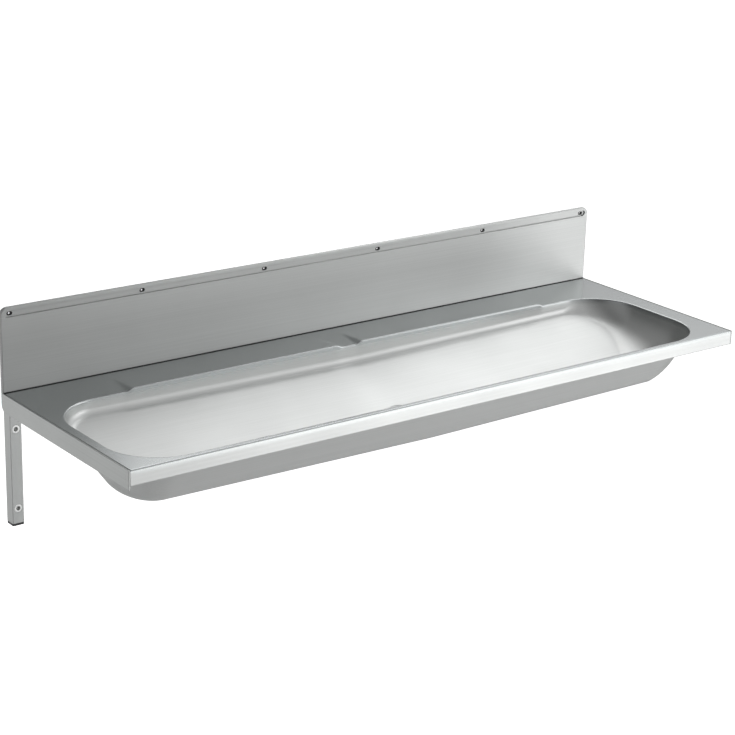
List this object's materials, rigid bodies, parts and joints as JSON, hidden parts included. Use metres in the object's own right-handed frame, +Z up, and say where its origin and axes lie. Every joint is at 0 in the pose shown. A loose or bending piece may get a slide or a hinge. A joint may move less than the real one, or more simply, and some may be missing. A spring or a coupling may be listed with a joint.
{
  "type": "stainless steel trough sink",
  "caption": "Wall-hung stainless steel wash trough: long pressed bowl in a deck with raised tap platforms, slotted splashback, side brackets with wall posts and a lift-out strainer.",
  "frame": {"origin": "on the wall plane, at the middle of the length, level with the top of the deck", "axes": "+X along the length to the right, +Y into the wall, +Z up"},
  "size_m": [1.2, 0.385, 0.353],
  "materials": {
    "basin_steel": "satin, fine grain",
    "splash_steel": "satin, fine grain along the length",
    "bracket_steel": "satin",
    "stiffener_steel": "mill finish",
    "fastener_steel": "bright",
    "backing_aluminium": "mill finish",
    "black_seal": "matt",
    "damping_rubber": "matt",
    "black_plastic": "moulded",
    "outlet_steel": "polished",
    "nut_plastic": "moulded"
  },
  "bodies": {
    "trough": {"basin": "basin_steel", "splashback": "splash_steel", "left_arm": "bracket_steel", "right_arm": "bracket_steel", "left_post": "bracket_steel", "right_post": "bracket_steel", "left_sleeves": "bracket_steel", "right_sleeves": "bracket_steel", "tap_ledge_stiffener": "stiffener_steel", "splash_studs": "fastener_steel", "splash_washers": "fastener_steel", "splash_nuts": "fastener_steel", "left_arm_studs": "fastener_steel", "left_arm_washers": "fastener_steel", "left_arm_nuts": "fastener_steel", "right_arm_studs": "fastener_steel", "right_arm_washers": "fastener_steel", "right_arm_nuts": "fastener_steel", "foot_backing_strip": "backing_aluminium", "rear_seal": "black_seal", "top_backing_strip": "black_seal", "outlet_gasket": "black_seal", "outlet_seal_ring": "black_seal", "left_damping_pad": "damping_rubber", "right_damping_pad": "damping_rubber", "left_end_cap": "black_plastic", "right_end_cap": "black_plastic", "outlet_spigot": "outlet_steel", "outlet_lock_nut": "nut_plastic"},
    "strainer": {"strainer": "outlet_steel"}
  },
  "joints": [
    {"name": "strainer_lift", "type": "slide", "parent": "trough", "child": "strainer", "axis": [0, 0, 1], "range_m": [0, 0.12]}
  ]
}
